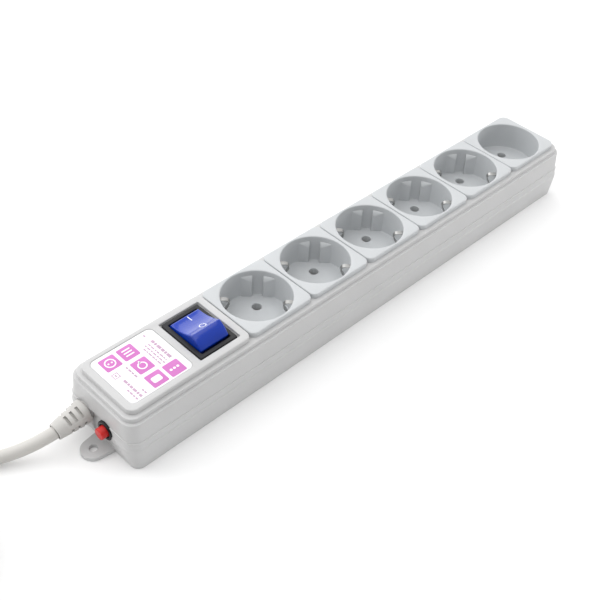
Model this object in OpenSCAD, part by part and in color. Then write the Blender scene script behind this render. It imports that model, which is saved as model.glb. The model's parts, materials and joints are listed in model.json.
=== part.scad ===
// Six-way socket strip with a lit rocker switch, a resettable breaker and a mains cord.
// X runs along the strip, with the control end at -X, Y across it, and Z is up.
// The origin is on the underside, in the middle of the case. Sizes are in millimetres.

/* [Case] */
// Height from the underside to the tile tops
case_h = 38; // [37:0.5:42]
// Width of the row of tiles
tile_w = 42.4; // [42.4:0.1:44]
// Height of a tile above the first ledge
tile_h = 3.2; // [2.4:0.2:3.6]
// How far the first ledge stands out past the tiles
ledge_1_out = 2.4; // [2:0.2:3]
// How far the second ledge stands out past the tiles
ledge_2_out = 4.0; // [3.6:0.2:4.6]
// How far the belt at the parting line stands out past the tiles
belt_out = 5.8; // [5.4:0.1:6.2]
// Height of the parting line between case and cover
seam_z = 20.2; // [19.8:0.1:20.6]
// Height of the widest line of the belt
belt_z = 15; // [13:0.5:17]
// Wall thickness of the case and cover
wall = 2.2; // [1.8:0.1:2.4]

/* [Sockets] */
// Distance from one socket to the next
pitch = 44.6; // [44:0.1:46]
// Inside diameter of a socket well
well_d = 39.5; // [38.8:0.1:39.8]
// Depth of a socket well
well_depth = 17.5; // [17.2:0.1:17.8]
// Distance between the two pin holes
pin_spacing = 19; // [18.8:0.1:19.2]
// Diameter of a pin hole
pin_hole_d = 5.5; // [5.2:0.1:6]
// Gap between neighbouring tiles
tile_gap = 0.5; // [0.3:0.1:0.8]

/* [Controls] */
// Length of the control tile
control_len = 78.2; // [76:0.2:82]
// Size of the switch's bezel along the strip
bezel_x = 24.4; // [24:0.1:25]
// Size of the switch's bezel across the strip
bezel_y = 32; // [31.6:0.1:32.4]
// Angle of the rocker from level, on either side
rocker_tilt = 16; // [12:1:17]
// Length of the label along the strip
label_x = 38.4; // [36:0.2:38.8]
// Width of the label across the strip
label_y = 35.4; // [33:0.2:35.8]

/* [Fixings] */
// Distance of each mounting hole from the middle
ear_x = 183.2; // [183:0.1:184]
// Diameter of a mounting hole
ear_hole_d = 4.4; // [4:0.1:5]
// Thickness of a mounting ear
ear_t = 2.5; // [2:0.1:3]

/* [Cord] */
// Diameter of the cord's jacket
cord_d = 7; // [6.6:0.1:7]

/* [Hidden] */
$fn = 48;
clear = 0.3;
sockets = 6;
row_len = control_len + sockets * pitch;
row_x0 = -row_len / 2;
first_x = row_x0 + control_len + pitch / 2;
half_x = row_len / 2;
half_y = tile_w / 2;
ledge_1_z = case_h - tile_h;
ledge_2_z = ledge_1_z - 2.8;
base_out_x = 2.4;
base_out_y = 4.8;
belt_out_x = belt_out - 0.6;
// Wall offsets on either side of the parting line.
case_rim_x = 4.4;
case_rim_y = 5.1;
cover_rim_x = 4.2;
cover_rim_y = 4.9;
tile_r = 4;
tile_end_r = 4.8;
floor_t = 2;
well_z = case_h - well_depth;
well_floor_t = 1.2;
well_wall = 1.15;
well_r = well_d / 2;
pin_r = 2.4;
// The guide ribs: distance of their faces from the well's axis, and their sides.
rib_face = 17.3;
rib_side_in = 3;
rib_side_out = 10.2;
rib_top_z = case_h - 3.5;
// The earth springs stand in slots in the well's wall.
spring_w = 3;
spring_t = 0.7;
spring_r = 18.5;
spring_top_z = case_h - 3.7;
sleeve_z = 15;
strip_z = well_z - well_floor_t - 1.1;
// Switch: the rocker turns about an axis along X at pivot_z.
switch_x = -112.55;
pivot_z = 30.5;
rocker_r = 14.4;
rocker_w = 18.6;
ridge_angle = 37;
rocker_sag = 1.3;
dish_r = (pow(rocker_r * sin(ridge_angle), 2) + rocker_sag * rocker_sag) / (2 * rocker_sag);
bezel_z = case_h - 1.8;
bezel_t = 1.5;
arm_tilt = 8;
label_pos_x = -149.4;
label_pos_y = 0.5;
// Breaker and cord entry in the end wall at -X.
pad_x = -176.3;
breaker_y = -5.3;
breaker_z = 15.5;
collar_r = 5.5;
button_r = 3.6;
relief_y = 12.2;
relief_z = 14.9;
relief_r = 6.9;
relief_end_r = 4.7;
relief_drop = 8;
relief_len = 15.6;
relief_x = -180;
ear_y = -1;
ear_r = 6.7;
// Case screws, in pairs at these stations.
screw_x = [-136, first_x + pitch / 2, first_x + 2.5 * pitch, first_x + 4.5 * pitch];
screw_y = 18.6;
// Cord: its route from the relief to the coil, and from the coil to the plug.
coil_pos = [-296, 8];
turn_out = 40;
turn_in = 33;
layers = 3;
coil_lift = 0.8;
coil_top = coil_lift + layers * cord_d;
cord_route = [
    [-195.2, 12.2, 12.7], [-199, 12.8, 12], [-204, 14.2, 10.6], [-209, 16.2, 8.9],
    [-214, 18.6, 7.3], [-220, 21.9, 5.7], [-227, 26.2, 4.4], [-235, 31.4, 3.7],
    [-243, 36.4, 3.5], [-252, 41.2, 3.5], [-262, 45, 3.5], [-272, 47.1, 3.6],
    [-283, 47.9, 3.9], [-296, 48, 4.3]
];
// From the coil's top layer to the plug, measured from the coil's centre.
tail_route = [
    [-33, 0, 18.5], [-32, -8.5, 20.3], [-28.6, -16.5, 23], [-23.5, -23.8, 25],
    [-17.5, -30.3, 25.3], [-9.5, -36.6, 25.3], [0, -40, 25.3], [10.5, -38.6, 25.4],
    [20, -34.6, 26.2], [28.2, -28.4, 27.6], [34.6, -20, 29.6], [37.7, -12.5, 31.4],
    [38.8, -4.5, 33.3], [37.7, 3.5, 35.2], [34.8, 11, 37], [29.9, 17, 38.5],
    [23.3, 21.6, 39.6], [15.8, 24.2, 40.2], [7.8, 25, 40.3]
];
tie_angle = 350;
plug_r = 18.5;
plug_z = coil_top + plug_r;

function socket_x(i) = first_x + (i - 1) * pitch;

// ---- helpers ----

// Rounded rectangle, out mm larger all round than the row of tiles.
module row_outline(out_x, out_y, r) {
    rounded_rect(2 * (half_x + out_x), 2 * (half_y + out_y), r);
}

module rounded_rect(x, y, r) {
    square([x - 2 * r, y], center = true);
    square([x, y - 2 * r], center = true);
    for (sx = [-1, 1], sy = [-1, 1])
        translate([sx * (x / 2 - r), sy * (y / 2 - r)])
            circle(r);
}

// Outline of one tile from x0 to x1, with its own corner radius at each end.
module tile_outline(x0, x1, r0, r1) {
    overlap = 2 * max(r0, r1);
    mid = (x0 + x1) / 2;
    translate([(x0 + mid + overlap) / 2, 0])
        rounded_rect(mid + overlap - x0, tile_w, r0);
    translate([(mid - overlap + x1) / 2, 0])
        rounded_rect(x1 - mid + overlap, tile_w, r1);
}

module row_slab(z0, z1, out_x, out_y, r) {
    translate([0, 0, z0])
        linear_extrude(z1 - z0)
            row_outline(out_x, out_y, r);
}

// Cylinder along +X from x0 to x1.
module bar_x(x0, x1, y, z, r) {
    translate([x0, y, z])
        rotate([0, 90, 0])
            cylinder(h = x1 - x0, r = r);
}

module case_screw_sites() {
    for (x = screw_x, side = [-1, 1])
        translate([x, side * screw_y, 0])
            children();
}

function unit(v) = v / norm(v);

function cross_frame(t) = unit(cross(t, abs(t[2]) > 0.9 ? [1, 0, 0] : [0, 0, 1]));

function route_dir(path, i) =
    i == 0 ? unit(path[1] - path[0]) :
    i == len(path) - 1 ? unit(path[i] - path[i - 1]) :
    unit(unit(path[i + 1] - path[i]) + unit(path[i] - path[i - 1]));

// Round tube swept along a list of points.
module tube(path, r, sides = 10) {
    rings = len(path);
    points = [
        for (i = [0 : rings - 1])
            let (t = route_dir(path, i), u = cross_frame(t), v = cross(t, u))
                for (k = [0 : sides - 1])
                    path[i] + r * (cos(360 * k / sides) * u + sin(360 * k / sides) * v)
    ];
    walls = [
        for (i = [0 : rings - 2], k = [0 : sides - 1])
            let (n = (k + 1) % sides)
                [i * sides + k, i * sides + n, (i + 1) * sides + n, (i + 1) * sides + k]
    ];
    ends = [
        [for (k = [sides - 1 : -1 : 0]) k],
        [for (k = [0 : sides - 1]) (rings - 1) * sides + k]
    ];
    polyhedron(points = points, faces = concat(walls, ends), convexity = 8);
}

// ---- case ----

module ear(side) {
    mirror([side < 0 ? 1 : 0, 0, 0])
        translate([0, ear_y, 0])
            linear_extrude(ear_t)
                difference() {
                    union() {
                        translate([ear_x, 0])
                            circle(ear_r);
                        polygon([[half_x + 1, -7.7], [half_x + 3, -7.7], [ear_x + 1, -ear_r + 0.1],
                                 [ear_x + 1, ear_r - 0.1], [half_x + 3, 7.7], [half_x + 1, 7.7]]);
                    }
                    translate([ear_x, 0])
                        circle(d = ear_hole_d);
                }
}

module bottom_case() {
    color([0.80, 0.81, 0.82])
        difference() {
            union() {
                hull() {
                    row_slab(0, 0.2, base_out_x, base_out_y, 5);
                    row_slab(belt_z, belt_z + 0.1, belt_out_x, belt_out, 7);
                }
                hull() {
                    row_slab(belt_z, belt_z + 0.1, belt_out_x, belt_out, 7);
                    row_slab(seam_z - 0.1, seam_z, case_rim_x, case_rim_y, 6.5);
                }
                ear(1);
                ear(-1);
            }
            difference() {
                row_slab(floor_t, seam_z + 1, base_out_x - wall, base_out_y - wall - 0.3, 4);
                case_screw_sites()
                    cylinder(h = 13.8, r = 3.4);
                clamp_posts();
            }
            // Screw holes with deep counterbores from below.
            case_screw_sites() {
                translate([0, 0, -1])
                    cylinder(h = 6, r = 3.3);
                translate([0, 0, -1])
                    cylinder(h = 20, r = 1.9);
            }
            // Flat pad behind the breaker's collar, and the two round openings in the end wall.
            translate([pad_x - 10, ear_y - 7.7, ear_t])
                cube([10, 15.4, seam_z]);
            bar_x(-190, -160, breaker_y, breaker_z, 5);
            bar_x(-190, pad_x, breaker_y, breaker_z, collar_r + clear);
            bar_x(-190, -160, relief_y, relief_z, 5.6);
            bar_x(-190, relief_x + 2.8, relief_y, relief_z, relief_r + clear);
        }
}

module clamp_posts() {
    for (side = [-1, 1])
        translate([-164, relief_y + side * 6.8, 0])
            cylinder(h = relief_z - 1, r = 2.6);
}

module top_cover() {
    color([0.87, 0.88, 0.89])
        difference() {
            union() {
                hull() {
                    row_slab(seam_z, seam_z + 0.1, cover_rim_x, cover_rim_y, 6.5);
                    row_slab(ledge_2_z - 0.1, ledge_2_z, ledge_2_out, ledge_2_out, 7);
                }
                row_slab(ledge_2_z, ledge_1_z, ledge_1_out, ledge_1_out, 6.2);
                translate([0, 0, ledge_1_z])
                    linear_extrude(tile_h)
                        tile_outline(row_x0, row_x0 + control_len - tile_gap / 2, tile_end_r, tile_r);
            }
            difference() {
                row_slab(seam_z - 1, ledge_2_z - 0.6, ledge_2_out - wall, ledge_2_out - wall, 5);
                case_screw_sites()
                    translate([0, 0, 14.2])
                        cylinder(h = 22, r = 3.4);
            }
            case_screw_sites()
                translate([0, 0, 14])
                    cylinder(h = 16, r = 1.5);
            // Opening for the row of socket inserts.
            translate([row_x0 + control_len + 0.2, -half_y + 0.25, 20])
                cube([sockets * pitch - 1.2, tile_w - 0.5, 30]);
            // Hollow under the label, and the label's recess.
            translate([-171, -half_y + 2, ledge_2_z])
                cube([42, tile_w - 4, case_h - 2.2 - ledge_2_z]);
            translate([label_pos_x, label_pos_y, case_h - 0.5])
                linear_extrude(1)
                    rounded_rect(label_x + 0.6, label_y + 0.6, 3.4);
            // Switch recess and cut-out.
            translate([switch_x, 0, bezel_z])
                linear_extrude(3)
                    square([bezel_x + 2.2, bezel_y + 1.8], center = true);
            translate([switch_x, 0, 20])
                linear_extrude(30)
                    square([22, 31], center = true);
            bar_x(-190, -160, breaker_y, breaker_z, 5);
            bar_x(-190, pad_x, breaker_y, breaker_z, collar_r + clear);
            bar_x(-190, -160, relief_y, relief_z, 5.6);
        }
    color([0.87, 0.88, 0.89])
        lower_bosses();
}

// The stretch of each screw boss that reaches below the parting line.
module lower_bosses() {
    case_screw_sites()
        translate([0, 0, 14.2])
            difference() {
                cylinder(h = seam_z - 14.2, r = 3.4);
                translate([0, 0, -1])
                    cylinder(h = 20, r = 1.5);
            }
}

// ---- sockets ----

// Guide rib pair on one end of the pin diagonal, in the well's own turned frame.
module rib_pair() {
    intersection() {
        translate([0, 0, well_z])
            cylinder(h = well_depth, r = well_r + 0.3);
        for (side = [-1, 1])
            translate([rib_face, side > 0 ? rib_side_in : -rib_side_out, well_z])
                cube([4, rib_side_out - rib_side_in, rib_top_z - well_z]);
    }
}

module socket_insert(i) {
    earthed = i < sockets;
    last = i == sockets;
    half = (pitch - tile_gap) / 2;
    color([0.87, 0.88, 0.89])
        translate([socket_x(i), 0, 0])
            difference() {
                union() {
                    translate([0, 0, ledge_1_z])
                        linear_extrude(tile_h)
                            tile_outline(-half, half + (last ? tile_gap / 2 : 0), tile_r, last ? tile_end_r : tile_r);
                    translate([0, 0, well_z - well_floor_t])
                        cylinder(h = case_h - well_z, r = well_r + well_wall);
                    for (a = [45, 225])
                        rotate(a)
                            translate([pin_spacing / 2, 0, sleeve_z])
                                cylinder(h = well_z - sleeve_z - 0.5, r = pin_hole_d / 2 + 1.1);
                }
                difference() {
                    translate([0, 0, well_z])
                        cylinder(h = well_depth + 1, r = well_r);
                    if (earthed)
                        for (a = [45, 225])
                            rotate(a)
                                rib_pair();
                }
                for (a = [45, 225])
                    rotate(a)
                        translate([pin_spacing / 2, 0, 0])
                            cylinder(h = case_h, d = pin_hole_d);
                if (earthed)
                    for (a = [135, 315])
                        rotate(a) {
                            translate([spring_r - 0.9, -spring_w / 2 - clear, 0])
                                cube([1.8, spring_w + 2 * clear, well_z + 1]);
                            translate([19, -spring_w / 2 - clear, spring_top_z - spring_t - clear])
                                cube([1.4, spring_w + 2 * clear, spring_t + 2 * clear]);
                        }
            }
}

// One stamped bar with a sleeve for each socket's pin.
module busbar(sign, x0) {
    difference() {
        union() {
            translate([x0, sign > 0 ? 9.9 : -10.9, 6])
                cube([socket_x(sockets) + 12 - x0, 1, 7.6]);
            for (i = [1 : sockets])
                translate([socket_x(i) + sign * pin_spacing / 2 * cos(45), sign * pin_spacing / 2 * sin(45), 5])
                    cylinder(h = sleeve_z - 5.4, r = 3.4);
        }
        for (i = [1 : sockets])
            translate([socket_x(i) + sign * pin_spacing / 2 * cos(45), sign * pin_spacing / 2 * sin(45), 4])
                cylinder(h = 15, r = pin_r + 0.1);
    }
}

module live_busbar() {
    color([0.80, 0.62, 0.25])
        busbar(1, -92);
}

module neutral_busbar() {
    color([0.80, 0.62, 0.25])
        busbar(-1, -92);
}

module earth_busbar() {
    color([0.80, 0.62, 0.25])
        translate([-92, -2, strip_z - 1.1])
            cube([socket_x(5) + 4 + 92, 4, 1]);
}

// U-shaped earth spring: a strip under the well's floor with two hooped fingers.
module earth_spring(i) {
    color([0.78, 0.79, 0.80])
        translate([socket_x(i), 0, 0])
            rotate(135) {
                translate([-spring_r - spring_t / 2, -spring_w / 2, strip_z])
                    cube([2 * spring_r + spring_t, spring_w, spring_t]);
                for (side = [0, 180])
                    rotate(side)
                        rotate([90, 0, 0])
                            translate([0, 0, -spring_w / 2])
                                linear_extrude(spring_w)
                                    spring_finger();
            }
}

// Side view of one finger: up from the strip, in to the pinch line, over and back to the wall.
module spring_finger() {
    outer = [[18.85, strip_z], [18.85, 22.6], [16.6, 28], [15.3, 30], [14.9, 31.8],
             [15.5, 32.9], [16.7, spring_top_z - spring_t], [20, spring_top_z - spring_t]];
    inner = [[20, spring_top_z], [16.5, spring_top_z], [15, 33.5], [14.2, 32],
             [14.6, 29.7], [15.9, 27.6], [18.15, 22.4], [18.15, strip_z]];
    polygon(concat(outer, inner));
}

module earth_rivets() {
    color([0.72, 0.56, 0.24])
        for (i = [1 : 5])
            translate([socket_x(i), 0, strip_z - 1.9])
                cylinder(h = 0.8, r = 1.6);
}

// ---- label and switch ----

module label() {
    color("white")
        translate([label_pos_x, label_pos_y, case_h - 0.5])
            linear_extrude(0.25)
                rounded_rect(label_x, label_y, 3.1);
}

module switch_frame() {
    color([0.12, 0.12, 0.13])
        translate([switch_x, 0, 0])
            difference() {
                union() {
                    translate([-bezel_x / 2, -bezel_y / 2, bezel_z])
                        cube([bezel_x, bezel_y, bezel_t]);
                    translate([-10.8, -15.3, 15])
                        cube([21.6, 30.6, bezel_z - 15]);
                }
                translate([-9.6, -14.7, 16.4])
                    cube([19.2, 29.4, bezel_z - 16.4]);
                translate([-9.6, -13.6, 30])
                    cube([19.2, 27.2, 20]);
                rotate([0, 90, 0])
                    translate([-pivot_z, 0, -20])
                        cylinder(h = 40, r = 1.55);
                for (x = [-5, 5], y = [-9.5, 0])
                    translate([x - 2.1, y - 0.6, 10])
                        cube([4.2, 1.2, 10]);
            }
}

module switch_terminals() {
    color([0.78, 0.72, 0.50])
        for (x = [-5, 5]) {
            translate([switch_x + x - 2, -9.9, 7])
                cube([4, 0.8, 9.4]);
            translate([switch_x + x - 2, -0.4, 7])
                cube([4, 0.8, 10.3]);
        }
}

// Two see-saw arms that rest on the middle terminals.
module contact_arms() {
    color([0.80, 0.62, 0.25])
        for (x = [-5, 5])
            translate([switch_x + x - 1.8, 0, 18])
                rotate([arm_tilt, 0, 0]) {
                    translate([0, -10, 0.1])
                        cube([3.6, 20, 0.8]);
                    rotate([0, 90, 0])
                        cylinder(h = 3.6, r = 0.6);
                }
}

module rocker_profile() {
    difference() {
        intersection() {
            circle(rocker_r);
            polygon([[-15, 3.7], [-9, -3], [9, -3], [15, 3.7], [15, 20], [-15, 20]]);
        }
        translate([0, rocker_r * cos(ridge_angle) - rocker_sag + dish_r])
            circle(dish_r, $fn = 96);
    }
}

module rocker() {
    color([0.12, 0.25, 0.72])
        translate([switch_x, 0, pivot_z])
            rotate([-rocker_tilt, 0, 0]) {
                rotate([90, 0, 90])
                    difference() {
                        translate([0, 0, -rocker_w / 2])
                            linear_extrude(rocker_w)
                                rocker_profile();
                        translate([-10.5, -4, -rocker_w / 2 + 1.6])
                            cube([21, 11.2, rocker_w - 3.2]);
                    }
                for (side = [-1, 1])
                    translate([side * (rocker_w / 2 + 0.35), 0, 0])
                        rotate([0, 90, 0])
                            cylinder(h = 1.3, r = 1.5, center = true);
                for (x = [-5, 5])
                    translate([x, 0, -10.7])
                        cylinder(h = 18, r = 1.1);
            }
}

module neon_lamp() {
    color([0.95, 0.60, 0.35])
        translate([switch_x, 0, 16.4])
            cylinder(h = 14, r = 2);
}

// ---- breaker ----

module breaker_body() {
    color([0.13, 0.13, 0.14])
        difference() {
            union() {
                translate([-172.8, breaker_y - 8, breaker_z - 7.5])
                    cube([26, 16, 15]);
                bar_x(-178.2, -172.8, breaker_y, breaker_z, 4.9);
            }
            bar_x(-179, -160, breaker_y, breaker_z, button_r + clear);
        }
}

module breaker_collar() {
    color([0.08, 0.08, 0.09])
        difference() {
            bar_x(pad_x - 2.2, pad_x, breaker_y, breaker_z, collar_r);
            bar_x(pad_x - 3, pad_x + 1, breaker_y, breaker_z, 4.9);
        }
}

module breaker_terminals() {
    color([0.78, 0.72, 0.50])
        for (y = [-3.8, 3.8])
            translate([-146.8, breaker_y + y - 0.4, breaker_z - 3])
                cube([8, 0.8, 6]);
}

module reset_button() {
    color([0.84, 0.24, 0.22])
        bar_x(-181.7, -166, breaker_y, breaker_z, button_r);
}

// ---- cord entry ----

module strain_relief() {
    color([0.80, 0.80, 0.78]) {
        bar_x(-173, -171.5, relief_y, relief_z, 6.6);
        bar_x(-178, -173, relief_y, relief_z, 5.5);
        bar_x(relief_x, relief_x + 2.6, relief_y, relief_z, relief_r);
        translate([relief_x, relief_y, relief_z])
            rotate([0, -90 - relief_drop, 0])
                difference() {
                    translate([0, 0, -1])
                        cylinder(h = relief_len, r1 = relief_r - 0.3, r2 = relief_end_r);
                    for (k = [0 : 2], side = [0 : 3])
                        rotate([0, 0, 90 * side - 28])
                            translate([5 - 0.4 * k, -3.2, 2.3 + 3.1 * k])
                                cube([4, 6.4, 1.2]);
                }
    }
}

module cord_jacket_end() {
    color([0.78, 0.79, 0.77])
        bar_x(-171.4, -157, relief_y, relief_z, 3.5);
}

module cord_clamp() {
    color([0.85, 0.85, 0.84])
        difference() {
            translate([-167, relief_y - 9.4, relief_z - 0.8])
                cube([6, 18.8, 6]);
            bar_x(-170, -155, relief_y, relief_z, 3.6);
            for (side = [-1, 1])
                translate([-164, relief_y + side * 6.8, 0])
                    cylinder(h = 40, r = 1.5);
        }
}

module clamp_screws() {
    color([0.75, 0.76, 0.78])
        for (side = [-1, 1])
            translate([-164, relief_y + side * 6.8, relief_z - 0.7]) {
                cylinder(h = 6, r = 1.4);
                translate([0, 0, 6])
                    cylinder(h = 1.4, r = 2.4);
            }
}

// ---- wiring ----

module live_wires() {
    color([0.45, 0.27, 0.13]) {
        tube([[-156.5, 13.6, 14], [-152, 13.6, 12], [-146, 11, 7], [-139, 5, 5],
              [-135, 0, 6], [-136.5, -1.5, 11.4]], 1.3, 8);
        tube([[-137, -8.6, 15.5], [-132, -9, 13], [-128, -9.5, 8], [-123, -10, 5], [-118, -10, 5.4]], 1.3, 8);
        tube([[-118, 0.5, 5.4], [-112, 4, 3.6], [-104, 9, 4], [-97, 10.4, 8], [-93.4, 10.4, 12]], 1.3, 8);
    }
}

module neutral_wires() {
    color([0.15, 0.35, 0.70]) {
        tube([[-155.8, 11.2, 13], [-151, 12.5, 6], [-142, 14, 3.6], [-130, 6, 3.6],
              [-120, -3, 3.6], [-113, -6, 3.6], [-108, -9.5, 5]], 1.3, 8);
        tube([[-107, -1, 5.4], [-103, -5, 4], [-98, -10, 6], [-93.6, -10.4, 12]], 1.3, 8);
    }
}

module earth_wire() {
    color([0.45, 0.65, 0.15])
        tube([[-156.5, 13.4, 17.2], [-150, 16, 16], [-141, 12, 9], [-126, 14, 6],
              [-110, 14.5, 6], [-99, 6, 12], [-93.6, 0, 16.6]], 1.3, 8);
}

module case_screws() {
    color([0.75, 0.76, 0.78])
        case_screw_sites() {
            translate([0, 0, 3])
                cylinder(h = 1.9, r = 3);
            translate([0, 0, 4.9])
                cylinder(h = 20, r = 1.45);
        }
}

// ---- cord and plug ----

module cord() {
    color([0.78, 0.79, 0.77])
        tube(cord_route, cord_d / 2);
}

module cord_coil() {
    color([0.78, 0.79, 0.77])
        translate([coil_pos[0], coil_pos[1], 0])
            rotate_extrude($fn = 64)
                translate([turn_in - cord_d / 2, coil_lift])
                    square([turn_out - turn_in + cord_d, layers * cord_d]);
}

module cord_tail() {
    color([0.78, 0.79, 0.77])
        translate([coil_pos[0], coil_pos[1], 0])
            tube(tail_route, cord_d / 2);
}

// Strap round the coil's bundle, on the side that faces the strip.
module cord_tie() {
    bundle = turn_out - turn_in + cord_d;
    color([0.15, 0.15, 0.16])
        translate([coil_pos[0], coil_pos[1], 0])
            rotate(tie_angle)
                difference() {
                    translate([turn_in - cord_d / 2 - 1.4, -5, 0])
                        cube([bundle + 2.8, 10, coil_top + coil_lift]);
                    translate([turn_in - cord_d / 2 - 0.6, -6, coil_lift])
                        cube([bundle + 1.2, 12, layers * cord_d]);
                }
}

// Everything on the plug is drawn along -X from the cord's end.
module at_plug() {
    translate([coil_pos[0] + 7.8, coil_pos[1] + 25, plug_z])
        rotate([0, -90, 0])
            children();
}

module plug_body() {
    color([0.78, 0.79, 0.77])
        at_plug()
            difference() {
                union() {
                    cylinder(h = 22, r1 = 5, r2 = 9);
                    translate([0, 0, 22])
                        cylinder(h = 16, r1 = 12, r2 = plug_r);
                    translate([0, 0, 38])
                        cylinder(h = 17, r = plug_r);
                }
                for (side = [-1, 1])
                    translate([side * (plug_r - 1.2) - 2.5, -3, 44])
                        cube([5, 6, 20]);
                for (side = [-1, 1])
                    translate([-3, side * (plug_r - 0.4) - 1.4, 40])
                        cube([6, 2.8, 20]);
            }
}

module plug_pins() {
    color([0.82, 0.83, 0.84])
        at_plug()
            for (side = [-1, 1])
                translate([0, side * pin_spacing / 2, 55])
                    cylinder(h = 19, r = 2.4);
}

module plug_earth_strips() {
    color([0.82, 0.83, 0.84])
        at_plug()
            for (side = [-1, 1])
                translate([side * (plug_r - 2.9) - 0.4, -2.5, 44.2])
                    cube([0.8, 5, 10.8]);
}

bottom_case();
top_cover();
socket_insert(1);  // socket_insert_1
socket_insert(2);  // socket_insert_2
socket_insert(3);  // socket_insert_3
socket_insert(4);  // socket_insert_4
socket_insert(5);  // socket_insert_5
socket_insert(6);  // socket_insert_6
live_busbar();
neutral_busbar();
earth_busbar();
earth_spring(1);  // earth_spring_1
earth_spring(2);  // earth_spring_2
earth_spring(3);  // earth_spring_3
earth_spring(4);  // earth_spring_4
earth_spring(5);  // earth_spring_5
earth_rivets();
label();
switch_frame();
switch_terminals();
contact_arms();
rocker();
neon_lamp();
breaker_body();
breaker_collar();
breaker_terminals();
reset_button();
strain_relief();
cord_jacket_end();
cord_clamp();
clamp_screws();
live_wires();
neutral_wires();
earth_wire();
case_screws();
cord();
cord_coil();
cord_tail();
cord_tie();
plug_body();
plug_pins();
plug_earth_strips();
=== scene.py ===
"""Looks of the six-way socket strip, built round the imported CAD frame.

Lengths in the mesh code are millimetres in the part's frame: X along the strip from the cord end,
Y across it, Z up. MM turns them into metres when a mesh is made.
"""

import itertools
import json
import math

import bmesh
import bpy
from mathutils import Matrix, Vector


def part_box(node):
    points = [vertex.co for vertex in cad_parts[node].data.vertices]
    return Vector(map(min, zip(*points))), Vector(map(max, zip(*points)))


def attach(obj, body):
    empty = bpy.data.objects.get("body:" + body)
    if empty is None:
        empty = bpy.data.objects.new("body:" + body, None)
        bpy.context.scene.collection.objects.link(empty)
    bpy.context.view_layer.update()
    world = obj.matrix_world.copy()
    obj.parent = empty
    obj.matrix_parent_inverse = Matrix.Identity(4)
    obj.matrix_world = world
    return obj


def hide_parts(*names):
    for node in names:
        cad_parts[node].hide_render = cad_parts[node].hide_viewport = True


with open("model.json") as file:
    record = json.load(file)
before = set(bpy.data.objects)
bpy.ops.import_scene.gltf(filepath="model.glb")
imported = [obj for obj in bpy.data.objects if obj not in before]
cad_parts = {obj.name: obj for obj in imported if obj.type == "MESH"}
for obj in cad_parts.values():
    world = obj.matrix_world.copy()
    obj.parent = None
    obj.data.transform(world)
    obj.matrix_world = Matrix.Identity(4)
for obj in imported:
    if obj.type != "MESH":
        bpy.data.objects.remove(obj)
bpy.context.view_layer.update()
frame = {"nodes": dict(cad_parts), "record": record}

MM = 0.001
WELD = 0.002
HOUSING = "housing"


def box_mm(node):
    """Lowest and highest corner of a CAD node, in millimetres."""
    low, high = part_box(node)
    return [c / MM for c in low], [c / MM for c in high]


# ---- sizes, read from the frame ----

SOCKETS = 6
insert_low, insert_high = box_mm("socket_insert_1")
second_low = box_mm("socket_insert_2")[0]
SEAM_Z = box_mm("bottom_case")[1][2]
TOP_Z = insert_high[2]
HALF_X = box_mm(f"socket_insert_{SOCKETS}")[1][0]
HALF_Y = insert_high[1]
PITCH = second_low[0] - insert_low[0]
FIRST_X = (insert_low[0] + insert_high[0]) / 2
TILE_GAP = PITCH - (insert_high[0] - insert_low[0])
LEDGE_1_Z = TOP_Z - 3.2
LEDGE_2_Z = LEDGE_1_Z - 2.8
WELL_R = 19.75
WELL_Z = TOP_Z - 17.5
PIN_AT = 9.5
CONTROL_X1 = insert_low[0] - TILE_GAP

# ---- camera ----

CAMERA_AT = (-0.34839, -0.28755, 0.40790)
CAMERA_YAW = 42.833
CAMERA_PITCH = -43.025
CAMERA_ROLL = 3.965
CAMERA_LENS = 61.011
SENSOR = 36


def make_camera():
    """Camera at the photo's place and angle. The angles are in degrees, the place in metres."""
    yaw, pitch, roll = (math.radians(a) for a in (CAMERA_YAW, CAMERA_PITCH, CAMERA_ROLL))
    ahead = Vector((math.cos(pitch) * math.cos(yaw), math.cos(pitch) * math.sin(yaw), math.sin(pitch)))
    level = Vector((math.sin(yaw), -math.cos(yaw), 0))
    above = level.cross(ahead)
    right = math.cos(roll) * level + math.sin(roll) * above
    up = math.cos(roll) * above - math.sin(roll) * level
    data = bpy.data.cameras.new("camera")
    data.lens = CAMERA_LENS
    data.sensor_width = SENSOR
    data.clip_start = 0.01
    data.clip_end = 20
    camera = bpy.data.objects.new("camera", data)
    bpy.context.scene.collection.objects.link(camera)
    turn = Matrix((right, up, -ahead)).transposed().to_4x4()
    camera.matrix_world = Matrix.Translation(CAMERA_AT) @ turn
    bpy.context.scene.camera = camera


make_camera()

# ---- mesh tools ----


class Skin:
    """Collects rings of points and the faces between them, in millimetres."""

    def __init__(self):
        self.points = []
        self.faces = []

    def ring(self, points):
        start = len(self.points)
        self.points.extend(tuple(p) for p in points)
        return list(range(start, len(self.points)))

    def bridge(self, low, high):
        n = len(low)
        for k in range(n):
            m = (k + 1) % n
            self.faces.append((low[k], low[m], high[m], high[k]))

    def cap(self, ring, flip=False):
        self.faces.append(tuple(reversed(ring)) if flip else tuple(ring))

    def loft(self, rings, close=True):
        """Skins a list of equal rings. Each ring runs anticlockwise, seen from the far end."""
        made = [self.ring(r) for r in rings]
        for low, high in zip(made, made[1:]):
            self.bridge(low, high)
        if close:
            self.cap(made[0], flip=True)
            self.cap(made[-1])
        return self


def make_object(name, skin, turn=None):
    """Mesh object from a Skin. turn is a matrix in millimetres, applied to the points."""
    points = [Vector(p) for p in skin.points]
    if turn is not None:
        points = [turn @ p for p in points]
    mesh = bpy.data.meshes.new(name)
    mesh.from_pydata([p * MM for p in points], [], skin.faces)
    piece = bpy.data.objects.new(name, mesh)
    bpy.context.scene.collection.objects.link(piece)
    return piece


def apply_modifiers(piece):
    graph = bpy.context.evaluated_depsgraph_get()
    mesh = bpy.data.meshes.new_from_object(piece.evaluated_get(graph))
    piece.modifiers.clear()
    old = piece.data
    piece.data = mesh
    bpy.data.meshes.remove(old)


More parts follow.
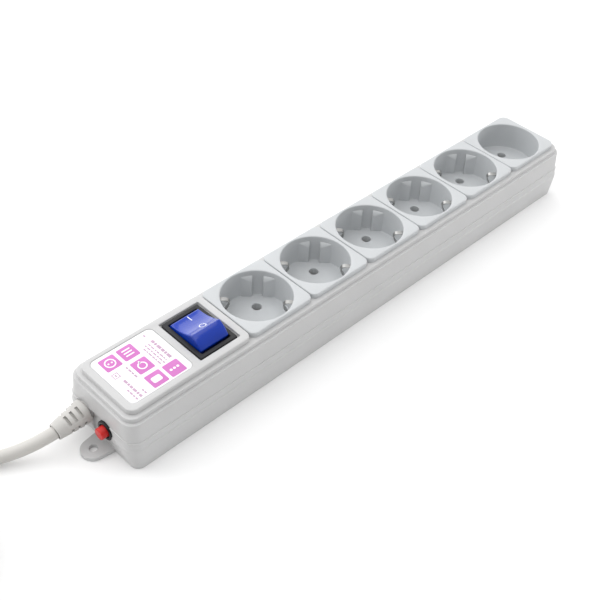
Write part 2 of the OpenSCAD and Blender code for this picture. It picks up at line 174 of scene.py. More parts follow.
def combine(piece, tools, operation="DIFFERENCE"):
    """Cuts the tools out of a piece, or joins them to it, and removes the tools."""
    for tool in tools:
        step = piece.modifiers.new("combine", "BOOLEAN")
        step.object = tool
        step.operation = operation
        step.solver = "EXACT"
    apply_modifiers(piece)
    for tool in tools:
        bpy.data.objects.remove(tool)


def shade(piece, angle):
    """Cleans the mesh and shades it smooth, with edges sharper than the angle kept."""
    mesh = bmesh.new()
    mesh.from_mesh(piece.data)
    bmesh.ops.remove_doubles(mesh, verts=mesh.verts, dist=WELD * MM)
    bmesh.ops.dissolve_degenerate(mesh, edges=mesh.edges, dist=WELD * MM)
    bmesh.ops.recalc_face_normals(mesh, faces=mesh.faces)
    mesh.to_mesh(piece.data)
    mesh.free()
    piece.data.shade_smooth()
    piece.data.set_sharp_from_angle(angle=math.radians(angle))


def finish_piece(piece, material, body=HOUSING, replaces=(), angle=32):
    """Shades a piece, gives it its material and body, and hides the CAD nodes it replaces."""
    shade(piece, angle)
    piece.data.materials.clear()
    piece.data.materials.append(material)
    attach(piece, body)
    if replaces:
        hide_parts(*replaces)


def outline(x0, x1, half_y, r0, r1, arc=8, side=36):
    """Rounded rectangle, anticlockwise, with corner radius r0 at its x0 end and r1 at its x1 end."""
    corners = [
        (x1 - r1, half_y - r1, r1, 0),
        (x0 + r0, half_y - r0, r0, 90),
        (x0 + r0, -half_y + r0, r0, 180),
        (x1 - r1, -half_y + r1, r1, 270),
    ]
    points = []
    for index, (cx, cy, r, start) in enumerate(corners):
        for k in range(arc + 1):
            a = math.radians(start + 90 * k / arc)
            points.append((cx + r * math.cos(a), cy + r * math.sin(a)))
        nx, ny, nr, next_start = corners[(index + 1) % 4]
        a = math.radians(next_start)
        end = (nx + nr * math.cos(a), ny + nr * math.sin(a))
        here = points[-1]
        for k in range(1, side):
            t = k / side
            points.append((here[0] + (end[0] - here[0]) * t, here[1] + (end[1] - here[1]) * t))
    return points


def circle_points(cx, cy, r, count):
    """Flat circle, anticlockwise."""
    return [
        (cx + r * math.cos(2 * math.pi * k / count), cy + r * math.sin(2 * math.pi * k / count))
        for k in range(count)
    ]


def at_height(points, z):
    """Turns flat points into points at one height."""
    return [(x, y, z) for x, y in points]


def fillet(r0, z0, r1, z1, steps=4, bulge=1):
    """Quarter-round steps between (offset r0, height z0) and (offset r1, height z1).
    With bulge 1 the path leaves along z and arrives along r; with -1 the other way round."""
    path = []
    for k in range(steps + 1):
        a = math.radians(90 * k / steps)
        if bulge > 0:
            path.append((r0 + (r1 - r0) * (1 - math.cos(a)), z0 + (z1 - z0) * math.sin(a)))
        else:
            path.append((r0 + (r1 - r0) * math.sin(a), z0 + (z1 - z0) * (1 - math.cos(a))))
    return path


def lathe(profile, count=64):
    """Closed turned shape about the local Z axis from a list of (radius, height)."""
    skin = Skin()
    rings = [at_height(circle_points(0, 0, r, count), z) for r, z in profile]
    return skin.loft(rings)


def ring_lathe(profile, count=64):
    """Turned ring: the profile is a closed loop of (radius, height)."""
    skin = Skin()
    made = [skin.ring(at_height(circle_points(0, 0, r, count), z)) for r, z in profile]
    for low, high in zip(made, made[1:] + made[:1]):
        skin.bridge(low, high)
    return skin


def along(direction, at):
    """Matrix that turns local Z to a direction and moves the origin to a point in millimetres."""
    turn = Vector(direction).to_track_quat("Z", "Y").to_matrix().to_4x4()
    return Matrix.Translation(at) @ turn


def pocket(x0, x1, half_y, r, floor_z, top_z, mouth=0.3, cy=0.0):
    """Tool for a rounded pocket, whose mouth at top_z flares out by a small radius."""
    rings = []
    steps = [(0.0, floor_z)] + fillet(0, top_z - mouth, mouth, top_z, 3) + [(mouth, top_z + 2)]
    for out, z in steps:
        shape = outline(x0 - out, x1 + out, half_y + out, r + out, r + out, arc=6, side=4)
        rings.append([(x, y + cy, z) for x, y in shape])
    return make_object("tool", Skin().loft(rings))


def round_pocket(cx, cy, r, z0, z1, mouth=0.3, count=40):
    """Tool for a round hole with a rounded mouth at z1."""
    steps = [(r, z0)] + fillet(r, z1 - mouth, r + mouth, z1, 3) + [(r + mouth, z1 + 1)]
    return make_object("tool", Skin().loft([at_height(circle_points(cx, cy, q, count), z) for q, z in steps]))


def turned_tool(profile, direction, at, count=56):
    """Turned tool whose axis points in a direction."""
    return make_object("tool", lathe(profile, count), along(direction, at))


def block(low, high, turn=None):
    """Tool in the shape of a box between two corners."""
    (x0, y0, z0), (x1, y1, z1) = low, high
    shape = [(x1, y0), (x1, y1), (x0, y1), (x0, y0)]
    return make_object("tool", Skin().loft([at_height(shape, z0), at_height(shape, z1)]), turn)


# ---- materials ----


def principled(name):
    """New material with its nodes, links and Principled shader."""
    material = bpy.data.materials.new(name)
    material.use_nodes = True
    nodes = material.node_tree.nodes
    shader = next(n for n in nodes if n.type == "BSDF_PRINCIPLED")
    return material, nodes, material.node_tree.links, shader


def noise(nodes, links, scale, detail=2.0, roughness=0.5):
    """Noise over the part's frame. scale is in cycles per metre."""
    place = nodes.new("ShaderNodeTexCoord")
    texture = nodes.new("ShaderNodeTexNoise")
    texture.inputs["Scale"].default_value = scale
    texture.inputs["Detail"].default_value = detail
    texture.inputs["Roughness"].default_value = roughness
    links.new(place.outputs["Object"], texture.inputs["Vector"])
    return texture.outputs["Fac"]


def two_tones(nodes, links, factor, dark, light):
    """Fades between two colours over the middle of a 0 to 1 value."""
    ramp = nodes.new("ShaderNodeValToRGB")
    ramp.color_ramp.elements[0].position = 0.35
    ramp.color_ramp.elements[1].position = 0.65
    ramp.color_ramp.elements[0].color = (*dark, 1)
    ramp.color_ramp.elements[1].color = (*light, 1)
    links.new(factor, ramp.inputs["Fac"])
    return ramp.outputs["Color"]


def spread(nodes, links, factor, low, high):
    """Maps a 0 to 1 value to a range."""
    step = nodes.new("ShaderNodeMapRange")
    step.inputs["To Min"].default_value = low
    step.inputs["To Max"].default_value = high
    links.new(factor, step.inputs["Value"])
    return step.outputs["Result"]


def plastic(name, colour, rough=0.42, vary=0.02, grain=0.04, grain_scale=2600, mottle_scale=30, **sockets):
    """Moulded plastic: a faint mottle in the colour, uneven gloss and a fine spark-eroded grain."""
    material, nodes, links, shader = principled(name)
    dark = [c * (1 - vary) for c in colour]
    light = [min(1, c * (1 + vary)) for c in colour]
    mottle = noise(nodes, links, mottle_scale, 3)
    links.new(two_tones(nodes, links, mottle, dark, light), shader.inputs["Base Color"])
    gloss = noise(nodes, links, mottle_scale * 6, 4)
    links.new(spread(nodes, links, gloss, rough - 0.05, rough + 0.05), shader.inputs["Roughness"])
    bump = nodes.new("ShaderNodeBump")
    bump.inputs["Strength"].default_value = grain
    bump.inputs["Distance"].default_value = 0.0002
    links.new(noise(nodes, links, grain_scale, 2), bump.inputs["Height"])
    links.new(bump.outputs["Normal"], shader.inputs["Normal"])
    for key, value in sockets.items():
        shader.inputs[key.replace("_", " ")].default_value = value
    return material


def metal(name, colour, rough=0.25, streak=0.05, scale=900):
    """Stamped or plated metal with fine rolling marks."""
    material, nodes, links, shader = principled(name)
    shader.inputs["Metallic"].default_value = 1.0
    marks = noise(nodes, links, scale, 4, 0.6)
    links.new(two_tones(nodes, links, marks, [c * 0.9 for c in colour], colour), shader.inputs["Base Color"])
    links.new(spread(nodes, links, marks, rough - streak, rough + streak), shader.inputs["Roughness"])
    bump = nodes.new("ShaderNodeBump")
    bump.inputs["Strength"].default_value = 0.05
    bump.inputs["Distance"].default_value = 0.0001
    links.new(marks, bump.inputs["Height"])
    links.new(bump.outputs["Normal"], shader.inputs["Normal"])
    return material


SHELL_GREY = (0.528, 0.528, 0.529)
INSERT_GREY = (0.518, 0.534, 0.546)
shell_plastic = plastic("shell_plastic", SHELL_GREY, rough=0.40)
insert_plastic = plastic("insert_plastic", INSERT_GREY, rough=0.38, mottle_scale=45)
black_plastic = plastic("black_plastic", (0.016, 0.016, 0.018), rough=0.45, vary=0.15, grain=0.10,
                        Specular_IOR_Level=0.33)
gloss_black = plastic("gloss_black", (0.008, 0.008, 0.010), rough=0.25, vary=0.15, grain=0.02,
                      Specular_IOR_Level=0.3)
red_plastic = plastic("red_plastic", (0.60, 0.020, 0.018), rough=0.30, vary=0.04, grain=0.02,
                      Specular_IOR_Level=0.35)
cord_pvc = plastic("cord_pvc", (0.565, 0.55, 0.525), rough=0.48, vary=0.03, grain=0.06, grain_scale=1500)
plug_pvc = plastic("plug_pvc", (0.53, 0.52, 0.50), rough=0.42, vary=0.03, grain=0.12, grain_scale=2200)
relief_pvc = plastic("relief_pvc", (0.53, 0.52, 0.50), rough=0.45, vary=0.03, grain=0.08, grain_scale=1800)
white_film = plastic("white_film", (0.86, 0.86, 0.87), rough=0.33, vary=0.01, grain=0.02)
pink_ink = plastic("pink_ink", (0.57, 0.155, 0.48), rough=0.33, vary=0.03, grain=0.02)
grey_ink = plastic("grey_ink", (0.50, 0.33, 0.46), rough=0.35, vary=0.06, grain=0.02)
white_ink = plastic("white_ink", (0.78, 0.80, 0.95), rough=0.4, vary=0.02, grain=0.02)
brown_wire = plastic("brown_wire", (0.17, 0.07, 0.03), rough=0.45, vary=0.05)
blue_wire = plastic("blue_wire", (0.03, 0.10, 0.45), rough=0.45, vary=0.05)
earth_wire_skin = plastic("earth_wire_skin", (0.25, 0.45, 0.05), rough=0.45, vary=0.2, mottle_scale=90)
brass = metal("brass", (0.80, 0.60, 0.28), rough=0.28)
spring_metal = metal("spring_metal", (0.46, 0.46, 0.45), rough=0.30)
screw_steel = metal("screw_steel", (0.62, 0.63, 0.66), rough=0.32)
plated_pins = metal("plated_pins", (0.83, 0.83, 0.82), rough=0.14)
blue_lens = plastic("blue_lens", (0.0, 0.032, 0.36), rough=0.16, vary=0.08, grain=0.01,
                    Specular_IOR_Level=0.2, Coat_Weight=0.7, Coat_Roughness=0.10)
lamp_glass = plastic("lamp_glass", (0.9, 0.62, 0.45), rough=0.08, vary=0.05, grain=0.0,
                     Transmission_Weight=0.8)

# ---- cord ----

CORD_D = 7.0
# Route from the strain relief to the coil, as in the CAD, in metres.
CORD_ROUTE = [
    (-0.1952, 0.0122, 0.0127), (-0.199, 0.0128, 0.012), (-0.204, 0.0142, 0.0106), (-0.209, 0.0162, 0.0089),
    (-0.214, 0.0186, 0.0073), (-0.220, 0.0219, 0.0057), (-0.227, 0.0262, 0.0044), (-0.235, 0.0314, 0.0037),
    (-0.243, 0.0364, 0.0035), (-0.252, 0.0412, 0.0035), (-0.262, 0.045, 0.0035), (-0.272, 0.0471, 0.0036),
    (-0.283, 0.0479, 0.0039), (-0.296, 0.048, 0.0043),
]
COIL_AT = Vector((-0.296, 0.008, 0))
# Route from the coil's top layer to the plug, from the coil's centre, in metres.
TAIL_ROUTE = [
    (-0.033, 0, 0.0185), (-0.032, -0.0085, 0.0203), (-0.0286, -0.0165, 0.023), (-0.0235, -0.0238, 0.025),
    (-0.0175, -0.0303, 0.0253), (-0.0095, -0.0366, 0.0253), (0, -0.040, 0.0253), (0.0105, -0.0386, 0.0254),
    (0.020, -0.0346, 0.0262), (0.0282, -0.0284, 0.0276), (0.0346, -0.020, 0.0296), (0.0377, -0.0125, 0.0314),
    (0.0388, -0.0045, 0.0333), (0.0377, 0.0035, 0.0352), (0.0348, 0.011, 0.037), (0.0299, 0.017, 0.0385),
    (0.0233, 0.0216, 0.0396), (0.0158, 0.0242, 0.0402), (0.0078, 0.025, 0.0403),
]
TURN_OUT = 0.040
TURN_IN = 0.033
LAYER_LOW = 0.0043
LAYER_STEP = CORD_D * MM
# Where the coil steps in, out and up, and where it ends, in degrees along its turns.
STEPS_IN = ((400, 445), (1675, 1722))
STEP_OUT = (1035, 1085)
STEPS_UP = ((730, 780), (1365, 1415))
COIL_START = 100
COIL_END = 1970
COIL_STRIDE = 10


def ease(value, low, high):
    """Rises smoothly from 0 to 1 between low and high."""
    t = min(1, max(0, (value - low) / (high - low)))
    return t * t * (3 - 2 * t)


def coil_point(angle):
    """Centre of the cord in the coil. angle is in degrees and grows from 90 where the cord arrives."""
    inward = sum(ease(angle, *span) for span in STEPS_IN) - ease(angle, *STEP_OUT)
    upward = sum(ease(angle, *span) for span in STEPS_UP)
    r = TURN_OUT - (TURN_OUT - TURN_IN) * inward
    z = LAYER_LOW + LAYER_STEP * upward
    a = math.radians(angle)
    return (r * math.cos(a), r * math.sin(a), z)


def cord_line():
    """Centreline of the whole cord, in metres."""
    coil = [COIL_AT + Vector(coil_point(a)) for a in range(COIL_START, COIL_END + 1, COIL_STRIDE)]
    tail = [COIL_AT + Vector(p) for p in TAIL_ROUTE]
    return smooth_line([Vector(p) for p in CORD_ROUTE] + coil + tail, 0.0022)


def smooth_line(knots, spacing):
    """Catmull-Rom curve through the knots, cut into steps of about the spacing."""
    knots = [2 * knots[0] - knots[1]] + knots + [2 * knots[-1] - knots[-2]]
    line = []
    for a, b, c, d in zip(knots, knots[1:], knots[2:], knots[3:]):
        count = max(1, round((c - b).length / spacing))
        for k in range(count):
            t = k / count
            line.append(0.5 * (2 * b + (c - a) * t + (2 * a - 5 * b + 4 * c - d) * t ** 2
                               + (3 * b - a - 3 * c + d) * t ** 3))
    line.append(knots[-2])
    return line


def sweep(line, radius, name, sides=20):
    """Round tube along a line in metres, closed at both ends."""
    rings = []
    side = None
    for k, p in enumerate(line):
        ahead = (line[min(k + 1, len(line) - 1)] - line[max(k - 1, 0)]).normalized()
        if side is None:
            side = ahead.orthogonal().normalized()
        side = (side - ahead * side.dot(ahead)).normalized()
        other = ahead.cross(side)
        turns = [2 * math.pi * j / sides for j in range(sides)]
        rings.append([(p + radius * (math.cos(a) * side + math.sin(a) * other)) / MM for a in turns])
    return make_object(name, Skin().loft(rings))


line = cord_line()
cord = sweep(line, CORD_D / 2 * MM, "mains_cord")
finish_piece(cord, cord_pvc, replaces=("cord", "cord_coil", "cord_tail"), angle=50)

# ---- bottom case ----

SCREW_X = (-136, FIRST_X + PITCH / 2, FIRST_X + 2.5 * PITCH, FIRST_X + 4.5 * PITCH)
SCREW_Y = 18.6
# The pad is the flat face in the cord end, over the ear.
PAD_X = -175.7
PAD_HALF = 7.7
EAR_X = 183.2
EAR_Y = -1.0
EAR_R = 6.7
EAR_T = 2.5
EAR_ROOT_HALF = 7.6
EAR_HOLE_R = 2.2
BREAKER_Y = -5.3
BREAKER_Z = 15.5
BREAKER_BORE_R = 5.54
BREAKER_NECK_R = 5
END_INSIDE_X = -170
COLLAR_X = -176.3
RELIEF_AT = (-180, 12.2, 14.9)
RELIEF_NECK_R = 5.6
RELIEF_SEAT_R = 7.15
RELIEF_DROP = 8
RELIEF_SPIN = -28
# Side of the case from its foot to the rounded belt: how far it stands past the tiles along X and Y,
# corner radius, height.
CASE_SIDE = (
    (3.4, 5.2, 5.7, 4.8), (4.3, 5.5, 6.4, 8.8), (5.0, 5.74, 7, 12.4), (5.2, 5.8, 7, 13.6),
    (5.22, 5.82, 7, 14.9), (5.17, 5.77, 7, 15.15), (5.05, 5.66, 6.9, 15.35), (4.8, 5.42, 6.7, 15.6),
    (4.68, 5.36, 6.6, 15.9), (4.6, 5.3, 6.5, SEAM_Z - 0.8),
)


def shell_ring(out_x, out_y, r, z):
    """Outline that stands out past the row of tiles, at height z."""
    return at_height(outline(-HALF_X - out_x, HALF_X + out_x, HALF_Y + out_y, r, r), z)


def ear(side):
    """Screw ear: a flat tongue with rounded edges, as a solid that reaches into the case."""
    shape = []
    root = HALF_X - 2
    steps = 24
    for k in range(steps + 1):
        a = math.radians(-84 + 168 * k / steps)
        shape.append((EAR_X + EAR_R * math.cos(a), EAR_Y + EAR_R * math.sin(a)))
    wide = EAR_ROOT_HALF + 0.3
    shape += [(HALF_X + 4, EAR_Y + EAR_ROOT_HALF), (root, EAR_Y + wide)]
    shape += [(root, EAR_Y - wide), (HALF_X + 4, EAR_Y - EAR_ROOT_HALF)]
    if side < 0:
        shape = [(-x, y) for x, y in reversed(shape)]
    middle = (sum(x for x, y in shape) / len(shape), EAR_Y)
    rings = []
    for inset, z in [(0.3, 0), (0.1, 0.1), (0, 0.3)] + fillet(0, EAR_T - 0.35, 0.35, EAR_T, 3):
        ring = []
        for x, y in shape:
            away = Vector((x - middle[0], y - middle[1])).normalized() * inset
            ring.append((x - away.x, y - away.y, z))
        rings.append(ring)
    return make_object("tool", Skin().loft(rings))


def end_bore(r, x, length, y, z):
    """Tool for a round bore through the cord end, from x outward."""
    return turned_tool([(r, 0), (r, length)], (-1, 0, 0), (x, y, z))


def breaker_bores():
    """Tools for the collar's bore and the narrower bore behind it."""
    return [end_bore(BREAKER_BORE_R, PAD_X, 20, BREAKER_Y, BREAKER_Z),
            end_bore(BREAKER_NECK_R, END_INSIDE_X, 10, BREAKER_Y, BREAKER_Z)]


def make_bottom_case():
    """Tray with a rounded foot, a belt under the seam, an ear at each end and its screw holes."""
    base = fillet(-0.45, 0, 0, 0.6, bulge=-1)
    rings = [shell_ring(2.55 + d, 4.85 + d, 5 + d, z) for d, z in base]
    rings += [shell_ring(*side) for side in CASE_SIDE]
    rings += [shell_ring(4.62 + d, 5.32 + d, 6.5 + d, z) for d, z in fillet(0, SEAM_Z - 0.4, -0.4, SEAM_Z)]
    rings += [shell_ring(2.6, 2.4, 5.5, SEAM_Z), shell_ring(0.4, 1.8, 4.5, 12), shell_ring(0.1, 1.6, 4, 2)]
    case = make_object("bottom_case_shell", Skin().loft(rings))
    combine(case, [ear(1), ear(-1)], "UNION")
    tools = [block((PAD_X - 12, EAR_Y - PAD_HALF, EAR_T), (PAD_X, EAR_Y + PAD_HALF, SEAM_Z + 5))]
    for side in (-1, 1):
        hole = [(EAR_HOLE_R + 0.3, -1), (EAR_HOLE_R + 0.3, 0), (EAR_HOLE_R, 0.3), (EAR_HOLE_R, EAR_T - 0.15),
                (EAR_HOLE_R + 0.15, EAR_T), (EAR_HOLE_R + 0.15, EAR_T + 2)]
        tools.append(turned_tool(hole, (0, 0, 1), (side * EAR_X, EAR_Y, 0), 48))
    for x in SCREW_X:
        for side in (-1, 1):
            hole = [(3.7, -1), (3.7, 0), (3.3, 0.4), (3.3, 5), (1.9, 5), (1.9, 19)]
            tools.append(turned_tool(hole, (0, 0, 1), (x, side * SCREW_Y, 0), 40))
    tools += breaker_bores()
    relief_x, relief_y, relief_z = RELIEF_AT
    tools.append(end_bore(RELIEF_NECK_R, END_INSIDE_X + 5, 30, relief_y, relief_z))
    tools.append(end_bore(RELIEF_SEAT_R, relief_x + 2.8, 12, relief_y, relief_z + 0.25))
    combine(case, tools)
    finish_piece(case, shell_plastic, replaces=["bottom_case"])


# ---- top cover ----

LABEL_AT = (-149.4, 0.5)
LABEL_HALF_X = 19.2
LABEL_HALF_Y = 17.7
LABEL_HOLLOW_X = (-171, -129)
FILM_LOW_Z = TOP_Z - 0.5
FILM_Z = TOP_Z - 0.25
SWITCH_X = -112.55
# Half sizes along X and Y of the cut-out for the switch and of the recess for its bezel.
SWITCH_CUT = (11, 15.5)
SWITCH_RECESS = (13.3, 16.9)
BEZEL_Z = TOP_Z - 1.8
TILE_R = 4.0
TILE_END_R = 4.8


def tile_rings(x0, x1, r0, r1, low, top, edge=0.7):
    """Rings of a raised tile from height low to its rounded top edge."""
    rings = [at_height(outline(x0, x1, HALF_Y, r0, r1), low)]
    for d, z in fillet(0, top - edge, edge, top, steps=6):
        rings.append(at_height(outline(x0 + d, x1 - d, HALF_Y - d, max(0.4, r0 - d), max(0.4, r1 - d)), z))
    return rings


def make_top_cover():
    """Stepped shell with the raised tile for the label and switch, open over the sockets."""
    rings = [shell_ring(3.3, 3.9, 6.2, SEAM_Z + 0.01), shell_ring(4.2, 4.9, 6.6, SEAM_Z + 0.01),
             shell_ring(3.97, 4.1, 7, LEDGE_2_Z - 0.5)]
    lower_edge = fillet(0, LEDGE_2_Z - 0.5, 0.5, LEDGE_2_Z, 5)
    rings += [shell_ring(3.95 - d, 4.07 - d, 7 - d, z) for d, z in lower_edge]
    rings += [shell_ring(2.65, 2.65, 6.45, LEDGE_2_Z), shell_ring(2.5, 2.5, 6.3, LEDGE_2_Z + 0.12)]
    upper_edge = fillet(0, LEDGE_1_Z - 0.45, 0.45, LEDGE_1_Z, 5)
    rings += [shell_ring(2.45 - d, 2.45 - d, 6.25 - d, z) for d, z in upper_edge]
    cover = make_object("top_cover_shell", Skin().loft(rings))
    inner = [shell_ring(1.8, 1.8, 5, SEAM_Z - 1), shell_ring(1.8, 1.8, 5, LEDGE_2_Z - 0.6)]
    combine(cover, [make_object("tool", Skin().loft(inner))])
    tile = tile_rings(-HALF_X, CONTROL_X1, TILE_END_R, TILE_R, LEDGE_2_Z + 1, TOP_Z)
    combine(cover, [make_object("tool", Skin().loft(tile))], "UNION")
    x, y = LABEL_AT
    half_x, half_y = LABEL_HALF_X + 0.3, LABEL_HALF_Y + 0.3
    cut_x, cut_y = SWITCH_CUT
    recess_x, recess_y = SWITCH_RECESS
    tools = [
        block((LABEL_HOLLOW_X[0], -HALF_Y + 2, LEDGE_2_Z - 2), (LABEL_HOLLOW_X[1], HALF_Y - 2, TOP_Z - 2.2)),
        block((SWITCH_X - cut_x, -cut_y, 20), (SWITCH_X + cut_x, cut_y, 50)),
        pocket(x - half_x, x + half_x, half_y, 3.4, FILM_LOW_Z, TOP_Z, 0.25, cy=y),
        pocket(SWITCH_X - recess_x, SWITCH_X + recess_x, recess_y, 0.8, BEZEL_Z, TOP_Z, 0.35),
    ]
    tools += breaker_bores()
    tools.append(end_bore(RELIEF_NECK_R, END_INSIDE_X, 20, RELIEF_AT[1], RELIEF_AT[2]))
    opening = [(WELL_R + 1.3, 20), (WELL_R + 1.3, 50)]
    for number in range(SOCKETS):
        tools.append(turned_tool(opening, (0, 0, 1), (FIRST_X + number * PITCH, 0, 0), 96))
    combine(cover, tools)
    finish_piece(cover, shell_plastic, replaces=["top_cover"])


# ---- socket inserts ----

# The pins stand on one diagonal of the well, the earth spring on the other.
PIN_ANGLES = (45, 225)
SPRING_ANGLES = (135, 315)
RIB_FACE = 17.3
RIB_SIDES = (3.0, 9.6)
RIB_TOP = TOP_Z - 3.5
PIN_HOLE_R = 2.75
SLOT_HALF = 1.8
SLEEVE_Z = 15.0


def diagonal(x, degrees):
    """Matrix that turns a shape about the axis of the well at x."""
    return Matrix.Translation((x, 0, 0)) @ Matrix.Rotation(math.radians(degrees), 4, "Z")


def rib(side):
    """One guide rib beside the pin diagonal. Its flat face is a chord of the well, and its top curves
    back to the wall by as much as the rib is deep there."""
    near, far = RIB_SIDES
    steps = 14
    stations = [(near, 0.45), (near + 0.12, 0.15), (near + 0.45, 0)]
    stations += [(near + 0.45 + (far - near - 0.45) * k / steps, 0) for k in range(1, steps + 1)]
    rings = []
    for a in (None, 0, 12, 25, 38, 52, 66, 80, 90):
        front, back = [], []
        for y, soft in stations:
            depth = max(0.0, math.sqrt(WELL_R ** 2 - y * y) - RIB_FACE)
            if a is None:
                x, z = RIB_FACE, WELL_Z - 0.5
            else:
                x = RIB_FACE + depth * (1 - math.cos(math.radians(a)) ** 1.4)
                z = RIB_TOP - 1.5 * depth * (1 - math.sin(math.radians(a)) ** 1.4)
            wall = math.sqrt((WELL_R + 0.4) ** 2 - y * y)
            front.append((min(x + soft, wall - 0.05), y, z))
            back.append((wall, y, z))
        ring = front[::-1] + back
        if side > 0:
            ring = ring[::-1]
        rings.append([(x, y * side, z) for x, y, z in ring])
    return Skin().loft(rings)


def make_insert(number):
    """Square tile with its round well. The last one is plain: no ribs and no earth spring."""
    x = FIRST_X + (number - 1) * PITCH
    last = number == SOCKETS
    x0 = x - (PITCH - TILE_GAP) / 2
    x1 = HALF_X if last else x + (PITCH - TILE_GAP) / 2
    rings = tile_rings(x0, x1, TILE_R, TILE_END_R if last else TILE_R, LEDGE_1_Z, TOP_Z)
    edge = rings[-1]
    angles = [math.atan2(py, px - x) for px, py, _ in edge]

    def circle(r, z):
        return [(x + r * math.cos(a), r * math.sin(a), z) for a in angles]

    lip = 0.7
    inner = circle(WELL_R + lip, TOP_Z)
    for share in (0.35, 0.7):
        rings.append([tuple(a + (b - a) * share for a, b in zip(p, q)) for p, q in zip(edge, inner)])
    rings += [circle(WELL_R + lip - d, z) for d, z in fillet(0, TOP_Z, lip, TOP_Z - lip, 5, bulge=-1)]
    rings += [circle(WELL_R, z) for z in (TOP_Z - 5, TOP_Z - 10, WELL_Z + 0.6)]
    rings += [circle(WELL_R - d, z) for d, z in fillet(0, WELL_Z + 0.6, 0.6, WELL_Z, 3)[1:]]
    rings += [circle(r, WELL_Z) for r in (15, 8, 3)]
    skin = Skin()
    made = [skin.ring(r) for r in rings]
    for low, high in zip(made, made[1:]):
        skin.bridge(low, high)
    skin.cap(made[-1])
    under = [skin.ring(circle(r, z)) for r, z in ((WELL_R + 1.15, LEDGE_1_Z), (WELL_R + 1.15, WELL_Z - 1.2))]
    skin.bridge(under[0], made[0])
    skin.bridge(under[1], under[0])
    skin.cap(under[1], flip=True)
    insert = make_object(f"socket_tile_{number}", skin)
    sleeve = [(PIN_HOLE_R + 1.1, SLEEVE_Z), (PIN_HOLE_R + 1.1, WELL_Z - 0.6)]
    pins = [diagonal(x, a) @ Vector((PIN_AT, 0, 0)) for a in PIN_ANGLES]
    added = [turned_tool(sleeve, (0, 0, 1), at, 40) for at in pins]
    if not last:
        added += [make_object("tool", rib(side), diagonal(x, a)) for a in PIN_ANGLES for side in (-1, 1)]
    combine(insert, added, "UNION")
    tools = [round_pocket(at.x, at.y, PIN_HOLE_R, SLEEVE_Z - 1, WELL_Z, 0.3, 48) for at in pins]
    if not last:
        for a in SPRING_ANGLES:
            tools.append(block((17.6, -SLOT_HALF, 10), (19.4, SLOT_HALF, WELL_Z + 1), diagonal(x, a)))
            tools.append(block((19, -SLOT_HALF, TOP_Z - 4.7), (20.4, SLOT_HALF, TOP_Z - 3.4), diagonal(x, a)))
    combine(insert, tools)
    finish_piece(insert, insert_plastic, replaces=[f"socket_insert_{number}"])


SPRING_HALF = 1.45
SPRING_T = 0.7
SPRING_LOW_Z = 18.55
# Middle line of one spring finger, from the corner at its foot: distance from the axis, height.
SPRING_FINGER = (
    (17.6, SPRING_LOW_Z), (18.1, 18.6), (18.4, 18.85), (18.5, 19.2), (18.5, 20.8), (18.42, 22.3),
    (17.85, 24.1), (17.1, 26), (16.2, 27.9), (15.4, 29.2), (14.85, 30.4), (14.62, 31.4), (14.7, 32.2),
    (15.05, 33), (15.65, 33.6), (16.5, 33.9), (18, 33.95), (20.1, 33.95),
)


def strip_skin(path, thickness, half_width):
    """Bent flat strip: path is its middle line as (along, height), swept across its width."""
    left, right = [], []
    for k, (u, z) in enumerate(path):
        a, b = path[max(k - 1, 0)], path[min(k + 1, len(path) - 1)]
        ahead = Vector((b[0] - a[0], b[1] - a[1])).normalized()
        off = Vector((-ahead.y, ahead.x)) * thickness / 2
        left.append((u + off.x, z + off.y))
        right.append((u - off.x, z - off.y))
    loop = left + right[::-1]
    rings = []
    soft = thickness * 0.3
    stations = [(-half_width, soft), (-half_width + soft, 0), (half_width - soft, 0), (half_width, soft)]
    for y, inset in stations:
        ring = []
        for k, (u, z) in enumerate(loop):
            other = loop[len(loop) - 1 - k]
            toward = Vector((other[0] - u, other[1] - z)).normalized() * inset
            ring.append((u + toward.x, y, z + toward.y))
        rings.append(ring)
    return Skin().loft(rings)


def make_earth_spring(number):
    """Spring strip under the well. Each end rises, bows in to the pinch line and bends back to the wall."""
    x = FIRST_X + (number - 1) * PITCH
    path = list(reversed(SPRING_FINGER)) + [(-u, z) for u, z in SPRING_FINGER]
    strip = strip_skin(path, SPRING_T, SPRING_HALF)
    spring = make_object(f"earth_spring_strip_{number}", strip, diagonal(x, SPRING_ANGLES[0]))
    finish_piece(spring, spring_metal, replaces=[f"earth_spring_{number}"], angle=40)


# ---- label ----


def plate(x0, x1, y0, y1, r, z0, z1, edge):
    """Thin plate with rounded corners and a softened top edge."""
    cy = (y0 + y1) / 2
    rings = []
    for d, z in [(0, z0), (0, z1 - edge)] + fillet(0, z1 - edge, edge, z1, 3)[1:]:
        shape = outline(x0 + d, x1 - d, (y1 - y0) / 2 - d, max(0.05, r - d), max(0.05, r - d), arc=8, side=2)
        rings.append([(x, y + cy, z) for x, y in shape])
    return Skin().loft(rings)


def join_skins(skins):
    """One Skin with the points and faces of several."""
    whole = Skin()
    for skin in skins:
        start = len(whole.points)
        whole.points.extend(skin.points)
        whole.faces.extend(tuple(i + start for i in face) for face in skin.faces)
    return whole


def moved(skin, cx, cy):
    """Skin moved across its plane."""
    skin.points = [(x + cx, y + cy, z) for x, y, z in skin.points]
    return skin


INK_Z = FILM_Z + 0.03
# Layers of print on the label: bottom and top of the coloured print, and of the signs over it.
INK_LAYER = (FILM_Z - 0.02, INK_Z)
SIGN_LAYER = (INK_Z - 0.01, INK_Z + 0.02)
BADGE = 9.2
# Low corner of each pink square.
BADGES = ((-164.8, 6.9), (-153.7, 7.0), (-153.8, -4.7), (-154.1, -16.2), (-143.1, -16.4))
